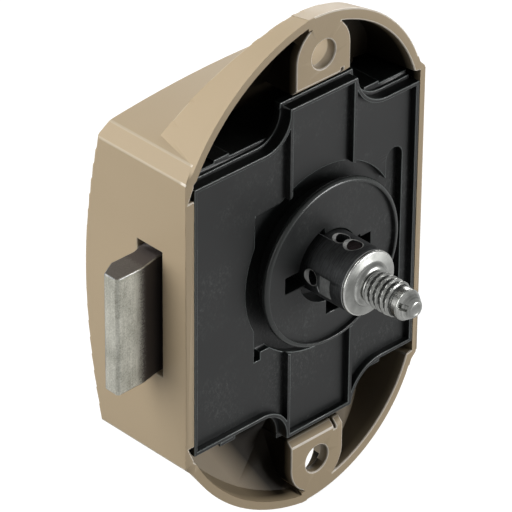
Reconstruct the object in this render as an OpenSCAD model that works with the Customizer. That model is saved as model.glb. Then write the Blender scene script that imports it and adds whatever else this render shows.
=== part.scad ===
// Surface-mounted push-button lock case for a furniture door, in millimetres.
// X points to the side away from the bolt, Y points from the door into the case and Z points up.
// The origin is midway between the two screw holes, on the mounting face, which is the plane y = 0.
// The pieces are drawn with x measured from the spindle's axis, and from_spindle() then moves them.

/* [Case] */
// Backset, from the bolt-side face to the spindle's axis
backset = 25; // [24:0.5:30]
// Spindle's axis to the outside of the far side wall
side_reach = 17.6; // [17.4:0.2:22]
// Height of the case over its round ends
case_h = 74.4; // [74:0.2:80]
// Depth of the case at mid height
case_depth = 19.2; // [19:0.2:24]
// Height of the straight part of the side walls
side_h = 43.4; // [43.4:0.2:44.4]
// Height of the raised block at its middle
block_h = 50.4; // [50:0.2:51]
// Radius of the block's shallow top and bottom faces
roof_r = 115; // [100:5:200]
// Radius of the curved front
front_r = 88.5; // [80:0.5:120]
// Edge rounding of the front along both side walls
front_round = 0.4; // [0.3:0.1:1.2]
// Radius of the round ends on the side away from the bolt
end_r = 20.6; // [20.4:0.1:20.8]
// Radius of the round ends on the bolt's side, which are flatter
bolt_arc_r = 28.9; // [28.6:0.1:29.4]
// How far the wall of a round end leans inwards, in degrees
end_lean = 10; // [5:0.5:12]
// Depth of the case at the tip of a round end
end_depth = 2.9; // [2.4:0.1:3.2]
// Slope of the front of a round end, in degrees
end_slope = 22.7; // [20:0.1:24]
// Wall of the block, its bolt side and the round ends
wall = 1.5; // [1.3:0.1:1.6]
// Wall of the side away from the bolt
thin_wall = 0.9; // [0.8:0.1:1.2]
// Width of the rim at the tip of a round end
rim_tip = 1.65; // [1.4:0.05:2]

/* [Screw tabs] */
// Distance between the two screw holes
screw_spacing = 62.4; // [61:0.2:63]
// Diameter of a screw hole
screw_d = 4.1; // [3.5:0.1:4.5]
// Sideways place of the screw holes from the spindle's axis
screw_x = -1.05; // [-1.5:0.05:-0.5]
// Width of a tab
tab_w = 9.56; // [9:0.02:10.5]
// Thickness of a tab under the screw head
tab_t = 1.6; // [1.2:0.1:2]
// Diameter of the well for the screw head
well_d = 8.6; // [8:0.1:8.8]
// Gap between the back plate's ledge and a tab's inner edge
tab_gap = 0.8; // [0.3:0.1:1.2]

/* [Back plate] */
// Height of the back plate without its tongues
plate_h = 40.6; // [40:0.1:41]
// Height of the back plate over its tongues
tongue_h = 50.6; // [47:0.2:54]
// Left edge of the tongues
tongue_left = -6.7; // [-7:0.1:-6.5]
// Right edge of the tongues
tongue_right = 5.2; // [5:0.1:6]
// Depth of the plate's floor below the mounting face
floor_y = 0.9; // [0.6:0.1:1.1]
// Depth of the plate's inner face
plate_t = 2.6; // [2.4:0.1:2.8]
// Width of the beads and ribs on the plate
bead_w = 0.55; // [0.4:0.05:1.1]
// Ledge round the plate, behind its front edge
ledge = 0.5; // [0.4:0.1:0.9]

/* [Retainer disc] */
// Diameter of the retainer disc
disc_d = 24.3; // [23.5:0.1:24.8]
// How far the disc stands out of the mounting face
disc_out = 1.4; // [1:0.1:1.8]
// Width of the disc's raised rim
disc_rim = 0.7; // [0.5:0.1:1.5]

/* [Spindle] */
// Diameter of the spindle
spindle_d = 9.2; // [8.8:0.1:9.4]
// How far the spindle's head stands out when it is pushed in
head_out = 8; // [7:0.5:10]
// Travel of the spindle
push_travel = 9; // [7:0.5:9]
// Thread size of the stud
stud_d = 5; // [4:0.5:6]
// Length of the stud from the spindle's head to its tip
stud_len = 8.4; // [8:0.2:12]
// Diameter of the bore for the spindle spring
spring_bore_d = 6.4; // [6.2:0.1:6.6]
// Diameter of the cam pins
cam_pin_d = 2.5; // [2:0.1:2.8]

/* [Bolt] */
// How far the bolt stands out of the case
bolt_out = 7.5; // [7:0.1:10]
// Travel of the bolt
bolt_throw = 8.7; // [7:0.1:8.7]
// Height of the bolt
bolt_h = 17.6; // [16:0.1:18.6]
// Thickness of the bolt
bolt_t = 4.3; // [3.5:0.1:4.4]
// Depth of the bolt's flat face below the mounting face
bolt_y = 4.6; // [4.5:0.1:5]
// Thickness of the bolt at its tip
bolt_tip_t = 2.4; // [1.6:0.1:3]

/* [Springs and guide rods] */
// Diameter of a guide rod
rod_d = 2.4; // [2:0.1:2.6]
// Height of the guide rods above and below the spindle's axis
rod_z = 18; // [17.8:0.1:18.2]
// Wire of the springs
spring_wire = 0.6; // [0.4:0.05:0.7]
// Turns of a spring
spring_turns = 12; // [8:1:13]

/* [Hidden] */
$fn = 96;

// A cut runs this far past the face it opens
over = 1;
// Gap round a piece that slides, and round a shaft in its bearing
slide_gap = 0.15;
running_gap = 0.08;
// Gap between the plate and the case
fit_gap = 0.1;

// Places of the case
left_x = -backset;
right_x = side_reach;
mid_x = (left_x + right_x) / 2;
side_z = side_h / 2;
end_z = case_h / 2;
roof_z = block_h / 2;
// The round ends lie a little off the middle, towards the thin wall
end_x = mid_x + 0.8;
end_cz = end_z - end_r;
// The straight part of the thin side wall is a little longer than the bolt side's
far_corner_rise = 0.5;
// The two arcs of a round end meet at this place, on the tip, with a step of a few hundredths,
// so that no face of one ends in a line on the other
end_joint_x = end_x - 0.9;
end_joint_step = 0.04;
bolt_arc_x = end_x + 4.4;
bolt_arc_z = end_cz + sqrt(end_r * end_r - pow(end_x - end_joint_x, 2)) - end_joint_step
    - sqrt(bolt_arc_r * bolt_arc_r - pow(bolt_arc_x - end_joint_x, 2));
// The rim is narrower at the sides than at the tip
rim_side = 1.05;
rim_bolt_side = 1.15;
end_wall = wall / cos(end_slope);
screw_z = screw_spacing / 2;
tab_z = tongue_h / 2 + ledge + tab_gap;
inner_left = left_x + wall;
inner_right = right_x - thin_wall;
inner_front = case_depth - wall;

// Places of the bolt and its carriage
bolt_gap_low = 0.4;
bolt_gap_top = 1;
shoulder_t = 2.4;
shoulder_h = 2;
shoulder_x = inner_left + fit_gap;
carriage_x = shoulder_x + shoulder_t;
carriage_t = 2.8;
cam_plate_x = carriage_x + carriage_t - 0.2;
bolt_tail = 5;
tail_h = 8;
cam_plate_t = 2.4;
// The cam plates pass beside the plunger collar
cam_plate_z = 6.5;
cam_nose = 2.9;
cam_plate_y0 = plate_t + 0.4;
cam_plate_y1 = inner_front - 1.1;
wing_h = rod_z + 2.4;
wing_t = 2;
wing_y0 = 5;
wing_y1 = 11;
rod_y = 8;
post_x = 3;
post_t = 2.5;
post_w = 4.8;

// Places of the spindle's inner end
collar_d = 12.2;
collar_y1 = inner_front - 1.7;
washer_t = 0.7;
stop_gap = 0.1;
// The collar meets the stop washer when the spindle is all the way out
collar_y0 = plate_t + washer_t + stop_gap + push_travel;
cam_pin_y = collar_y1 - 1.6;
spring_bore_len = 11.8;
cam_slot_w = cam_pin_d + 2 * 0.1;
cam_reach = cam_pin_d / 2 + cam_nose;
head_pin_set = 3.1;
head_pin_y = head_pin_set - head_out;
head_pin_d = 2.6;
stud_root = 1.5;
// Cross holes and milled recess of the head, from the head pin and from the head's face
cross_hole_d = 2.3;
cross_hole_set = 2.2;
side_hole_set = 3.1;
milled_y0 = 2.8;
milled_y1 = 5;
milled_low = 2.3;
milled_high = 1;
milled_depth = 0.5;

// Places of the heart cam and its latch wire
heart_y0 = 4.4;
heart_y1 = 7.6;
heart_z0 = cam_plate_z + cam_plate_t;
heart_h = 6.7;
heart_depth = 1.6;
wire_d = 1;
wire_z = 12.4;
wire_y = 3.5;
wire_tip_x = 4;
wire_pivot_x = inner_right - 1.3;

// A plane outline in X and Z, made solid from depth y0 to depth y1
module slab(y0, y1) {
    translate([0, y1, 0])
        rotate([90, 0, 0])
            linear_extrude(y1 - y0)
                children();
}

// A plane outline in Y and Z, made solid from x0 to x1
module loaf(x0, x1) {
    translate([x0, 0, 0])
        rotate([90, 0, 90])
            linear_extrude(x1 - x0)
                children();
}

// A box between two corners
module box(low, high) {
    translate(low)
        cube(high - low);
}

// A round rod along X, Y or Z from a start point
module rod_along_x(start, length, d) {
    translate(start)
        rotate([0, 90, 0])
            cylinder(d = d, h = length);
}

module rod_along_y(start, length, d) {
    translate(start)
        rotate([-90, 0, 0])
            cylinder(d = d, h = length);
}

module rod_along_z(start, length, d) {
    translate(start)
        cylinder(d = d, h = length);
}

// Moves a piece from the spindle's axis to the origin between the screw holes
module from_spindle() {
    translate([-screw_x, 0, 0])
        children();
}

// Both mirror halves, above and below the spindle's axis
module both_ends() {
    children();
    mirror([0, 0, 1])
        children();
}

module both_ends_flat() {
    children();
    mirror([0, 1])
        children();
}

// Front view of the raised block: straight sides, cut corners and shallow round roof and floor
module block_outline(wall_l = 0, wall_r = 0, wall_z = 0) {
    cut = 8;
    // A wall behind a 45 degree corner cut starts a little lower than the corner
    low_l = side_z - wall_l * tan(22.5);
    low_r = side_z + far_corner_rise - wall_r * tan(22.5);
    x0 = left_x + wall_l;
    x1 = right_x - wall_r;
    intersection() {
        polygon([
            [x0, -low_l], [x0, low_l], [x0 + cut, low_l + cut],
            [x1 - cut, low_r + cut], [x1, low_r], [x1, -low_r],
            [x1 - cut, -low_r - cut], [x0 + cut, -low_l - cut]
        ]);
        translate([mid_x, roof_z - roof_r])
            circle(r = roof_r - wall_z, $fn = 360);
        translate([mid_x, roof_r - roof_z])
            circle(r = roof_r - wall_z, $fn = 360);
    }
}

// One round end above the straight part of the sides. Its wall leans, so both of its arcs are cones.
module end_cone(x, z, r, y0, y1) {
    translate([x, y0, z])
        rotate([-90, 0, 0])
            cylinder(r1 = r - y0 * tan(end_lean), r2 = r - y1 * tan(end_lean), h = y1 - y0, $fn = 180);
}

module end_form(bolt_r, far_r, far_z, from_z, y0 = 0, y1 = case_depth) {
    intersection() {
        end_cone(bolt_arc_x, bolt_arc_z, bolt_r, y0, y1);
        box([left_x - over, y0, from_z], [end_joint_x, y1, end_z + over]);
    }
    intersection() {
        end_cone(end_x, far_z, far_r, y0, y1);
        box([end_joint_x, y0, from_z], [right_x + over, y1, end_z + over]);
    }
}

// Side view of the round ends: their front slopes from the block down to the tips
function end_front(z) = end_depth + tan(end_slope) * (end_z - z);

module end_profile(setback, y_start) {
    z_out = end_z + over;
    polygon([
        [y_start, -z_out], [end_front(z_out) - setback, -z_out],
        [end_front(side_z) - setback, -side_z], [end_front(side_z) - setback, side_z],
        [end_front(z_out) - setback, z_out], [y_start, z_out]
    ]);
}

// The curved front is turned about an axis along X, so its edge rounding follows the curve
module front_barrel() {
    translate([0, case_depth - front_r, 0])
        rotate([0, 90, 0])
            rotate_extrude($fn = 360)
                union() {
                    translate([0, left_x])
                        square([front_r - front_round, right_x - left_x]);
                    translate([0, left_x + front_round])
                        square([front_r, right_x - left_x - 2 * front_round]);
                    translate([front_r - front_round, left_x + front_round])
                        circle(r = front_round, $fn = 24);
                    translate([front_r - front_round, right_x - front_round])
                        circle(r = front_round, $fn = 24);
                }
}

module front_barrel_inside() {
    rod_along_x([left_x - over, case_depth - front_r, 0], right_x - left_x + 2 * over, 2 * (front_r - wall));
}

module block_solid() {
    intersection() {
        slab(0, case_depth + over)
            block_outline();
        front_barrel();
    }
}

module ends_solid() {
    intersection() {
        both_ends()
            end_form(bolt_arc_r, end_r, end_cz, side_z);
        loaf(left_x - over, right_x + over)
            end_profile(0, 0);
    }
}

module block_cavity() {
    intersection() {
        slab(-over, case_depth)
            block_outline(wall, thin_wall, wall);
        front_barrel_inside();
    }
}

module ends_cavity() {
    intersection() {
        both_ends()
            end_form(bolt_arc_r - rim_bolt_side, end_r - rim_side,
                     end_z - rim_tip - (end_r - rim_side), side_z - 3, -over);
        loaf(left_x - over, right_x + over)
            end_profile(end_wall, -over);
    }
}

// Screw tab at one end: a U-shaped boss with a well for the screw head and a sloped inner edge
module tab_boss() {
    slope = 0.9;
    intersection() {
        slab(0, case_depth)
            union() {
                translate([screw_x, screw_z])
                    circle(d = tab_w);
                translate([screw_x - tab_w / 2, tab_z])
                    square([tab_w, screw_z - tab_z]);
            }
        end_form(bolt_arc_r, end_r, end_cz, side_z);
        loaf(left_x, right_x)
            end_profile(0, 0);
        loaf(left_x, right_x)
            polygon([
                [0, tab_z + slope], [slope, tab_z], [case_depth, tab_z],
                [case_depth, end_z + over], [0, end_z + over]
            ]);
    }
}

module tab_cuts() {
    notch_w = 0.35;
    notch_x = screw_x + tab_w / 2 - 1.6;
    rod_along_y([screw_x, -over, screw_z], case_depth, screw_d);
    rod_along_y([screw_x, tab_t, screw_z], case_depth, well_d);
    box([notch_x, -over, tab_z - over], [notch_x + notch_w, 1.4, tab_z + 1.3]);
}

// Posts on the inside of the front that carry the guide rods and the ends of the springs
module rod_post() {
    difference() {
        box([post_x, plate_t + 1.6, rod_z - post_w / 2], [post_x + post_t, case_depth, rod_z + post_w / 2]);
        rod_along_x([post_x - over, rod_y, rod_z], post_t + 2 * over, rod_d + 2 * running_gap);
    }
}

// Ridges behind which the back plate's hooks catch
hook_xs = [left_x + 8.1, right_x - 7.9];
hook_w = 2.7;
hook_z = 20.9;
hook_t = 0.8;
catch_y = 7.2;

module hook_catch(x) {
    box([x - hook_w / 2 - 0.5, catch_y, hook_z + hook_t + 0.3],
        [x + hook_w / 2 + 0.5, catch_y + 1, roof_z - 0.6]);
}

module cover_shell() {
    color("#c3b493") from_spindle()
        difference() {
            union() {
                difference() {
                    union() {
                        block_solid();
                        ends_solid();
                    }
                    block_cavity();
                    ends_cavity();
                }
                both_ends()
                    tab_boss();
                intersection() {
                    block_solid();
                    union() {
                        both_ends()
                            rod_post();
                        both_ends()
                            for (x = hook_xs)
                                hook_catch(x);
                        // Spigot that centres the spindle spring
                        rod_along_y([0, inner_front - 3.2, 0], 3.2 + wall / 2, 3.8);
                        // Boss for the latch wire's pivot
                        rod_along_y([wire_pivot_x, heart_y1 + 0.6, wire_z], case_depth, 3);
                    }
                }
            }
            both_ends()
                tab_cuts();
            rod_along_y([wire_pivot_x, 0, wire_z], 12.1, wire_d + 0.1);
            // Slot for the bolt
            box([left_x - over, bolt_y - 0.2, -bolt_h / 2 - bolt_gap_low],
                [inner_left + over, bolt_y + bolt_t + 0.1, bolt_h / 2 + bolt_gap_top]);
        }
}

// Back plate: outline with a tongue at each end and concave corners, drawn smaller by inset
plate_x0 = inner_left + fit_gap;
plate_x1 = inner_right - fit_gap;
corner_l = 4.4;
corner_r = 5.6;

module plate_outline(inset) {
    half = plate_h / 2 - inset;
    union() {
        translate([plate_x0 + inset, -half])
            square([plate_x1 - plate_x0 - 2 * inset, 2 * half]);
        both_ends_flat() {
            translate([tongue_left + inset, 0])
                square([tongue_right - tongue_left - 2 * inset, tongue_h / 2 - inset]);
            intersection() {
                translate([plate_x0, 0])
                    square([plate_x1 - plate_x0, tongue_h / 2 - inset]);
                union() {
                    difference() {
                        translate([tongue_left - corner_l, half - 0.1])
                            square([corner_l + inset + 0.1, corner_l + 0.1]);
                        translate([tongue_left - corner_l, plate_h / 2 + corner_l])
                            circle(r = corner_l + inset);
                    }
                    difference() {
                        translate([tongue_right - inset - 0.1, half - 0.1])
                            square([corner_r + inset + 0.1, corner_r + 0.1]);
                        translate([tongue_right + corner_r, plate_h / 2 + corner_r])
                            circle(r = corner_r + inset);
                    }
                }
            }
        }
    }
}

// Recess round the disc: a circle, a square window on the bolt's side and a long slot on the other
recess_d = 27.2;
recess_y = 2;
window_l = -12;
window_top = 11.2;
window_low = -10;
slot_l = 11.7;
slot_r = 14.6;

module disc_recess() {
    slot_w = slot_r - slot_l;
    circle(d = recess_d);
    translate([window_l, window_low])
        square([-window_l, window_top - window_low]);
    // Narrow slot that runs on below the window
    translate([window_l, window_low - 1.2])
        square([1.1, 2.2]);
    translate([slot_l, window_low])
        square([slot_w, window_top - window_low - slot_w / 2]);
    translate([slot_l + slot_w / 2, window_top - slot_w / 2])
        circle(d = slot_w);
}

module plate_hook(x) {
    barb = 0.6;
    box([x - hook_w / 2, plate_t - 0.6, hook_z], [x + hook_w / 2, catch_y + 2.4, hook_z + hook_t]);
    box([x - hook_w / 2, catch_y + 1.2, hook_z], [x + hook_w / 2, catch_y + 2.4, hook_z + hook_t + barb]);
    box([x - hook_w / 2, plate_t - 0.6, plate_h / 2 - 1], [x + hook_w / 2, plate_t, hook_z + hook_t]);
}

// Upright wall behind the plate's upper and lower edges, which closes the chamber
chamber_wall_t = 0.7;
chamber_wall_end = 13.4;

module chamber_wall() {
    z0 = wing_h + 0.2;
    box([plate_x0 + ledge, plate_t - 0.6, z0], [plate_x1 - ledge, chamber_wall_end, z0 + chamber_wall_t]);
    // Foot that joins the wall to the plate
    box([plate_x0 + ledge, plate_t - 0.6, plate_h / 2 - 1], [plate_x1 - ledge, plate_t, z0 + chamber_wall_t]);
}

// Small bracket in front of each lower hook, open on one side
module hook_bracket(x) {
    y0 = 0.6;
    low = -hook_z - 0.5;
    box([x - hook_w / 2, y0, low], [x + hook_w / 2, plate_t, low + 0.55]);
    box([x + hook_w / 2 - 0.6, y0, low], [x + hook_w / 2, plate_t, 0.5 - plate_h / 2]);
}

module guide_rail() {
    z0 = cam_plate_z + cam_plate_t + slide_gap;
    box([cam_plate_x + 1, plate_t - 0.1, z0], [post_x, cam_plate_y0 + 1, z0 + 1.1]);
}

module back_plate() {
    ledge_y = 1.5;
    rib_l = tongue_left;
    rib_r = tongue_right - bead_w;
    color("#2c2e2e") from_spindle()
        difference() {
            union() {
                // Floor of the plate with its edge
                slab(floor_y, plate_t)
                    plate_outline(0);
                // Ledge that stands out behind the edge
                slab(ledge_y, plate_t)
                    intersection() {
                        plate_outline(-ledge);
                        translate([plate_x0 + ledge, -end_z])
                            square([plate_x1 - plate_x0 - 2 * ledge, 2 * end_z]);
                    }
                // Bead round the plate and the two upright ribs
                slab(0, floor_y + 0.1)
                    union() {
                        difference() {
                            plate_outline(0);
                            plate_outline(bead_w);
                        }
                        for (x = [rib_l, rib_r])
                            translate([x, -tongue_h / 2])
                                square([bead_w, tongue_h]);
                    }
                both_ends()
                    for (x = hook_xs)
                        plate_hook(x);
                both_ends()
                    chamber_wall();
                for (x = hook_xs)
                    hook_bracket(x);
                both_ends()
                    guide_rail();
            }
            slab(-over, recess_y)
                disc_recess();
            rod_along_y([0, -over, 0], plate_t + 2 * over, spindle_d + 2 * running_gap);
        }
}

// Opening of the disc: a round hole with wider lobes and slots for the cross pin of a knob sleeve
module disc_opening() {
    lobe = 1.1;
    slot_h = 2.4;
    circle(d = spindle_d + 2 * slide_gap);
    intersection() {
        circle(d = spindle_d + 2 * lobe);
        union() {
            rotate(102)
                square([8, 8]);
            rotate(200)
                square([8, 6]);
            rotate(-70)
                square([6, 8]);
        }
    }
    translate([-8.1, -1.55])
        square([8.1, slot_h]);
    translate([0, -0.85])
        square([7.4, slot_h]);
    translate([-0.6, -7.9])
        square([slot_h, 7.9]);
}

module retainer_disc() {
    dish = 0.6;
    flange_t = 1.1;
    hub_d = disc_d - 3.4;
    color("#323434") from_spindle()
        difference() {
            union() {
                slab(-disc_out, flange_t - disc_out)
                    circle(d = disc_d);
                slab(flange_t - disc_out - 0.1, recess_y)
                    circle(d = hub_d);
            }
            slab(-disc_out - over, dish - disc_out)
                circle(d = disc_d - 2 * disc_rim);
            slab(-disc_out - over, recess_y + over)
                disc_opening();
        }
}

// Washer that the collar stops against when the spindle is out
module stop_washer() {
    color("#1f2022") from_spindle()
        slab(plate_t, plate_t + washer_t)
            difference() {
                circle(d = collar_d);
                circle(d = spindle_d + 4 * slide_gap);
            }
}

// Body of the spindle, turned, with the bore for its spring
module spindle() {
    r = spindle_d / 2;
    edge = 0.25;
    color("#55585a") from_spindle()
        difference() {
            rotate([-90, 0, 0])
                rotate_extrude()
                    polygon([
                        [0, stud_flange_t - head_out], [r, stud_flange_t - head_out],
                        [r, collar_y1 - edge], [r - edge, collar_y1], [0, collar_y1]
                    ]);
            rod_along_y([0, collar_y1 - spring_bore_len, 0], spring_bore_len + over, spring_bore_d);
            rod_along_y([0, -head_out, 0], stud_root, stud_d - 0.8);
            // Cross hole from above, with the hole for the head pin in front of it
            rod_along_z([0, head_pin_y + cross_hole_set, 0], spindle_d, cross_hole_d);
            rod_along_z([0, head_pin_y, -spindle_d], 2 * spindle_d, head_pin_d);
            // Cross hole from the side
            rod_along_x([-spindle_d, head_pin_y + side_hole_set, 0], spindle_d, cross_hole_d);
            // Milled recess on the side
            box([-spindle_d, milled_y0 - head_out, -milled_low],
                [milled_depth - r, milled_y1 - head_out, milled_high]);
            for (s = [-1, 1])
                rod_along_z([0, cam_pin_y, s > 0 ? 0 : -spindle_d], spindle_d, cam_pin_d);
        }
}

// Pin pressed through the head, just below its surface
module head_pin() {
    length = spindle_d - 0.8;
    color("#6a5f55") from_spindle()
        intersection() {
            rod_along_z([0, head_pin_y, -length / 2], length, head_pin_d);
            rod_along_y([0, -head_out, 0], 2 * head_out, spindle_d - 0.5);
        }
}

// Stud for the push knob: face flange, flared neck, thread, pilot and pointed tip with a drilled mark
stud_flange_t = 0.5;

module threaded_stud() {
    r = stud_d / 2;
    core = r - 0.4;
    y0 = -head_out;
    neck = 1.2;
    pilot = 3;
    tip = 1.2;
    rim = spindle_d / 2;
    color("#b9b9b4") from_spindle()
        difference() {
            rotate([-90, 0, 0])
                rotate_extrude()
                    polygon([
                        [0, y0 + stud_root], [core, y0 + stud_root], [core, y0 + stud_flange_t],
                        [rim, y0 + stud_flange_t], [rim, y0 + 0.2], [rim - 0.2, y0], [r + 0.5, y0],
                        [r - 0.05, y0 - 0.35 * neck], [core, y0 - neck], [core, y0 - neck - 0.2],
                        [r, y0 - neck - 0.6], [r, y0 - stud_len + pilot],
                        [core, y0 - stud_len + pilot - 0.4], [core, y0 - stud_len + tip],
                        [1.1, y0 - stud_len], [0, y0 - stud_len]
                    ]);
            // Mark drilled into the tip's slope
            translate([0, y0 - stud_len + 0.6, 0])
                rotate([0, -47, 0])
                    translate([0, 0, 0.9])
                        cylinder(d = 1, h = stud_d);
        }
}

// Collar on the spindle's inner end, which carries the cam pins
module plunger_collar() {
    color("#e4e1d6") from_spindle()
        difference() {
            slab(collar_y0, collar_y1)
                difference() {
                    circle(d = collar_d);
                    circle(d = spindle_d);
                }
            rod_along_z([0, cam_pin_y, -collar_d], 2 * collar_d, cam_pin_d);
        }
}

module cam_pins() {
    z0 = spring_bore_d / 2 + 0.2;
    z1 = cam_plate_z + cam_plate_t - 0.1;
    color("#c9c9c5") from_spindle()
        both_ends()
            rod_along_z([0, cam_pin_y, z0], z1 - z0, cam_pin_d);
}

// Compression spring along Z, as one tube wound by a formula
coil_rings = 10;
coil_sides = 6;

function coil_point(i, j, length, mean_r) =
    let (turn = 360 * i / coil_rings,
         side = 360 * j / coil_sides,
         r = mean_r + spring_wire / 2 * cos(side),
         rise = (length - spring_wire) * i / (spring_turns * coil_rings) + spring_wire / 2)
    [r * cos(turn), r * sin(turn), rise + spring_wire / 2 * sin(side)];

module coil(length, mean_r) {
    n = spring_turns * coil_rings;
    points = [for (i = [0:n], j = [0:coil_sides - 1]) coil_point(i, j, length, mean_r)];
    skin = [
        for (i = [0:n - 1], j = [0:coil_sides - 1], half = [0, 1])
            let (a = i * coil_sides + j,
                 b = i * coil_sides + (j + 1) % coil_sides)
            half == 0 ? [a, a + coil_sides, b] : [b, a + coil_sides, b + coil_sides]
    ];
    first_cap = [for (j = [1:coil_sides - 2]) [0, j, j + 1]];
    last = n * coil_sides;
    last_cap = [for (j = [1:coil_sides - 2]) [last, last + j + 1, last + j]];
    polyhedron(points, concat(skin, first_cap, last_cap));
}

// Least gap between neighbouring turns, measured on the points of two of them
function turn_gap(length, mean_r) =
    min([for (j = [0:coil_sides - 1], k = [0:coil_sides - 1])
        norm(coil_point(coil_rings, j, length, mean_r) - coil_point(2 * coil_rings, k, length, mean_r))]);

spindle_spring_r = spring_bore_d / 2 - spring_wire / 2 - 0.25;
spindle_spring_y = collar_y1 - spring_bore_len + 0.1;
spindle_spring_len = inner_front - spindle_spring_y - 0.1;
echo("least gap of the spindle spring to itself, mm", turn_gap(spindle_spring_len, spindle_spring_r));

module spindle_spring() {
    color("#b4b6b8") from_spindle()
        translate([0, spindle_spring_y, 0])
            rotate([-90, 0, 0])
                coil(spindle_spring_len, spindle_spring_r);
}

// Bolt: nose that tapers on both sides, shoulders inside the case and a tail
module bolt_section() {
    x_tip = left_x - bolt_out;
    y0 = bolt_y;
    y1 = bolt_y + bolt_t;
    nose_r = 0.6;
    taper = 0.6;
    far_y = y1 - 0.66;
    nose = [for (a = [270:-15:180]) [x_tip + nose_r + nose_r * cos(a), y0 + nose_r + nose_r * sin(a)]];
    polygon(concat(
        [[shoulder_x + 0.1, y0 + taper], [left_x, y0 + taper], [left_x - 3, y0]],
        nose,
        [[x_tip, y0 + bolt_tip_t], [x_tip + 2.3, far_y], [left_x - 1.4, far_y],
         [left_x - 0.5, far_y + 0.25], [left_x, y1], [shoulder_x + 0.1, y1]]
    ));
}

module latch_bolt() {
    y0 = bolt_y;
    y1 = bolt_y + bolt_t;
    color("#a9aba2") from_spindle()
        difference() {
            union() {
                translate([0, 0, -bolt_h / 2])
                    linear_extrude(bolt_h)
                        bolt_section();
                box([shoulder_x, y0, -bolt_h / 2 - shoulder_h], [carriage_x, y1, bolt_h / 2 + shoulder_h]);
                box([carriage_x - 0.1, y0 + 0.3, -tail_h / 2], [carriage_x + bolt_tail, y1 - 0.3, tail_h / 2]);
            }
            rod_along_y([carriage_x + carriage_t / 2, y0 - over, 0], bolt_t + 2 * over, 2);
        }
}

module bolt_pin() {
    color("#c9c9c5") from_spindle()
        rod_along_y([carriage_x + carriage_t / 2, cam_plate_y0 + 0.5, 0], bolt_t + 2.4, 2);
}

// Carriage: front plate with the bolt's socket, two cam plates round the spindle and two wings
module cam_plate() {
    // The slot leans by the ratio of the bolt's travel to the spindle's travel
    run = sqrt(push_travel * push_travel + bolt_throw * bolt_throw);
    lean = atan2(push_travel, bolt_throw);
    // A hair narrower than the round ends, so that no face only touches another
    straight_w = cam_slot_w - 0.02;
    difference() {
        box([cam_plate_x, cam_plate_y0, cam_plate_z], [cam_reach, cam_plate_y1, cam_plate_z + cam_plate_t]);
        for (t = [0, 1])
            rod_along_z([-t * bolt_throw, cam_pin_y - t * push_travel, cam_plate_z - over],
                        cam_plate_t + 2 * over, cam_slot_w);
        translate([0, cam_pin_y, cam_plate_z - over])
            rotate([0, 0, 180 + lean])
                translate([0, -straight_w / 2, 0])
                    cube([run, straight_w, cam_plate_t + 2 * over]);
    }
}

module carriage_wing() {
    box([carriage_x, wing_y0, cam_plate_z], [carriage_x + wing_t, wing_y1, wing_h]);
}

module bolt_carriage() {
    z1 = cam_plate_z + cam_plate_t;
    tail_gap = 0.05;
    color("#d8d4c6") from_spindle()
        difference() {
            union() {
                box([carriage_x, cam_plate_y0 + 0.4, -z1], [carriage_x + carriage_t, wing_y1 + 1, z1]);
                both_ends()
                    cam_plate();
                both_ends()
                    carriage_wing();
            }
            box([carriage_x - over, bolt_y + 0.3 - tail_gap, -tail_h / 2 - tail_gap],
                [carriage_x + carriage_t + over, bolt_y + bolt_t - 0.3 + tail_gap, tail_h / 2 + tail_gap]);
            rod_along_y([carriage_x + carriage_t / 2, cam_plate_y0 - over, 0], bolt_t + 4, 2);
            for (s = [-1, 1])
                rod_along_x([carriage_x - over, rod_y, s * rod_z], wing_t + 2 * over, rod_d);
        }
}

// Heart cam: a plate on the carriage with a track round a heart-shaped island.
// Lengths run from the wire's tip at rest towards the bolt.
heart_len = 10.5;
heart_nose = 2.2;
track_len = 9.6;
track_fork = 7.6;
track_wide = 5.6;
track_end = 1.4;
track_half = 2.5;
lane_half = 0.75;
island_len = 6.2;
island_wide = 4.8;
island_nose = 1.2;
island_half = 1.05;
island_horn = 0.1;
island_notch = 0.6;

module heart_track() {
    translate([wire_tip_x, wire_z])
        difference() {
            polygon([
                [-track_len, -lane_half], [-track_fork, -lane_half], [-track_wide, -track_half],
                [track_end - 1.1, -track_half], [track_end, 1 - track_half],
                [track_end, track_half - 1], [track_end - 1.1, track_half],
                [-track_wide, track_half], [-track_fork, lane_half], [-track_len, lane_half]
            ]);
            polygon([
                [-island_len, 0], [-island_wide, -island_half], [-island_nose, -island_half],
                [-island_horn, -lane_half], [-island_notch, 0], [-island_horn, lane_half],
                [-island_nose, island_half], [-island_wide, island_half]
            ]);
        }
}

module heart_cam() {
    color("#d8d4c6") from_spindle()
        difference() {
            box([wire_tip_x - heart_len, heart_y0, heart_z0],
                [wire_tip_x + heart_nose, heart_y1, heart_z0 + heart_h]);
            slab(heart_y0 - over, heart_y0 + heart_depth)
                heart_track();
        }
}

// Latch wire: pivot leg in the case, arm along the plate and tip in the heart track
module latch_wire() {
    tip_y = heart_y0 + heart_depth - 0.2;
    color("#b4b6b8") from_spindle()
        union() {
            rod_along_y([wire_pivot_x, wire_y, wire_z], 12 - wire_y, wire_d);
            rod_along_x([wire_tip_x, wire_y, wire_z], wire_pivot_x - wire_tip_x, wire_d);
            rod_along_y([wire_tip_x, wire_y, wire_z], tip_y - wire_y, wire_d);
            for (x = [wire_tip_x, wire_pivot_x])
                translate([x, wire_y, wire_z])
                    sphere(d = wire_d);
        }
}

module guide_rod() {
    length = post_x + post_t + 2 - carriage_x;
    rod_along_x([carriage_x, rod_y, rod_z], length, rod_d);
}

module upper_guide_rod() {
    color("#c9c9c5") from_spindle()
        guide_rod();
}

module lower_guide_rod() {
    color("#c9c9c5") from_spindle()
        mirror([0, 0, 1])
            guide_rod();
}

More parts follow.
